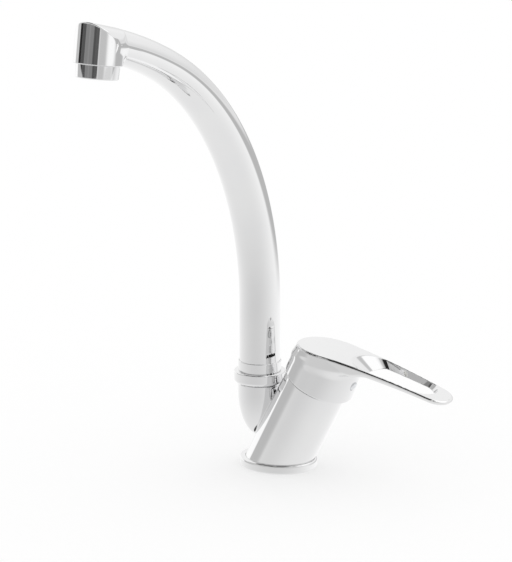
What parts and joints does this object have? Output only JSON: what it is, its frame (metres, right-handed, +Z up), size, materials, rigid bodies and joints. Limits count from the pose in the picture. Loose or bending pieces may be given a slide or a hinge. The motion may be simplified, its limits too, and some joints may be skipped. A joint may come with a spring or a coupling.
{
  "type": "gooseneck basin mixer",
  "caption": "High curved swivelling spout on a leaning cylindrical mixer body, with a slotted loop lever on top and a ringed foot that bolts down to a basin or worktop.",
  "frame": {"origin": "on the deck, on the axis of the fixing stud, under the middle of the body's foot", "axes": "+Z up from the deck, +X the way the body leans and the lever points, -Y the way the spout points at rest"},
  "size_m": [0.1647, 0.218, 0.3264],
  "materials": {
    "polished_chrome": "polished chrome plate",
    "black_rubber": "matt moulded rubber",
    "white_acetal": "moulded acetal",
    "blue_plastic": "moulded glass-filled plastic",
    "dark_plastic": "moulded plastic",
    "plated_plastic": "bright chrome-plated plastic",
    "ceramic": "lapped alumina ceramic",
    "brass": "turned brass",
    "steel": "stainless steel"
  },
  "bodies": {
    "base": {"mixer_body": "polished_chrome", "foot_ring": "polished_chrome", "deck_seal": "black_rubber", "swivel_nut": "polished_chrome", "lower_slip_washer": "white_acetal", "upper_slip_washer": "white_acetal", "cartridge_housing": "blue_plastic", "cartridge_base": "blue_plastic", "port_seals": "black_rubber", "fixed_ceramic_disc": "ceramic", "retaining_nut": "brass", "trim_dome": "polished_chrome"},
    "rotor": {"stem_guide": "white_acetal", "stem_pin": "steel"},
    "lever": {"lever_handle": "polished_chrome", "lever_stem": "steel", "set_screw": "steel", "index_plug": "plated_plastic"},
    "disc": {"disc_carrier": "dark_plastic", "moving_ceramic_disc": "ceramic"},
    "spout": {"spout_tube": "polished_chrome", "outlet_head": "polished_chrome", "spout_spigot": "brass", "collar_sleeve": "polished_chrome", "spigot_seals": "black_rubber", "aerator_housing": "polished_chrome", "aerator_insert": "white_acetal", "aerator_screen": "steel", "aerator_washer": "black_rubber"}
  },
  "joints": [
    {"name": "spout_swivel", "type": "hinge", "parent": "base", "child": "spout", "pos_m": [-0.0134, 0, 0.058], "axis": [0, 0, 1], "continuous": true},
    {"name": "handle_turn", "type": "hinge", "parent": "base", "child": "rotor", "pos_m": [0.02542, 0, 0.0499], "axis": [0.454, 0, 0.891], "range_deg": [-45, 45]},
    {"name": "lever_lift", "type": "hinge", "parent": "rotor", "child": "lever", "pos_m": [0.02542, 0, 0.0499], "axis": [0, -1, 0], "range_deg": [0, 25]},
    {"name": "disc_slide", "type": "slide", "parent": "rotor", "child": "disc", "axis": [0.891, 0, -0.454], "range_m": [0, 0.00382]}
  ],
  "couplings": [
    {"joint": "disc_slide", "follows": "lever_lift", "m_per_rad": 0.00873}
  ]
}
